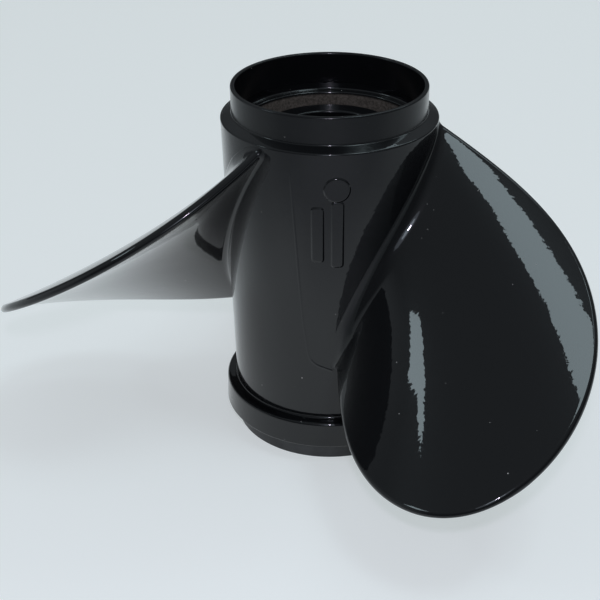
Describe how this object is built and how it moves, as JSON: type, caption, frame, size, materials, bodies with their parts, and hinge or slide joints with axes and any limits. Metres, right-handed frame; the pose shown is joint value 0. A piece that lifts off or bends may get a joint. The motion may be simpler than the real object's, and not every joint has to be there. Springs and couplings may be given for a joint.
{
  "type": "boat propeller",
  "caption": "Right-hand outboard propeller: swept helical blades on a through-hub exhaust barrel with front spigot, flared aft ring and a rubber-cushioned splined sleeve.",
  "frame": {"origin": "on the shaft axis, in the front face of the splined sleeve, where the shaft's thrust washer bears", "axes": "+Z along the shaft axis towards the boat (the hub's front spigot); the first blade's reference line is 46.2 degrees from +X towards -Y"},
  "size_m": [0.2422, 0.2592, 0.1524],
  "materials": {
    "gloss_black_paint": "gloss",
    "dusted_casting": "matte",
    "black_rubber": "matte",
    "sleeve_bronze": "satin"
  },
  "bodies": {
    "drive_core": {"rubber_cushion": "black_rubber", "splined_sleeve": "sleeve_bronze"},
    "propeller": {"hub_barrel": "gloss_black_paint", "front_spigot": "gloss_black_paint", "diffuser_ring": "gloss_black_paint", "inner_tube": "dusted_casting", "rib_1": "dusted_casting", "rib_2": "dusted_casting", "rib_3": "dusted_casting", "blade_1": "gloss_black_paint", "blade_2": "gloss_black_paint", "blade_3": "gloss_black_paint", "mark_disc": "gloss_black_paint", "mark_bar_long": "gloss_black_paint", "mark_bar_short": "gloss_black_paint"}
  },
  "joints": [
    {"name": "cushion_slip", "type": "hinge", "parent": "drive_core", "child": "propeller", "pos_m": [0, 0, -0.035], "axis": [0, 0, 1], "continuous": true}
  ]
}
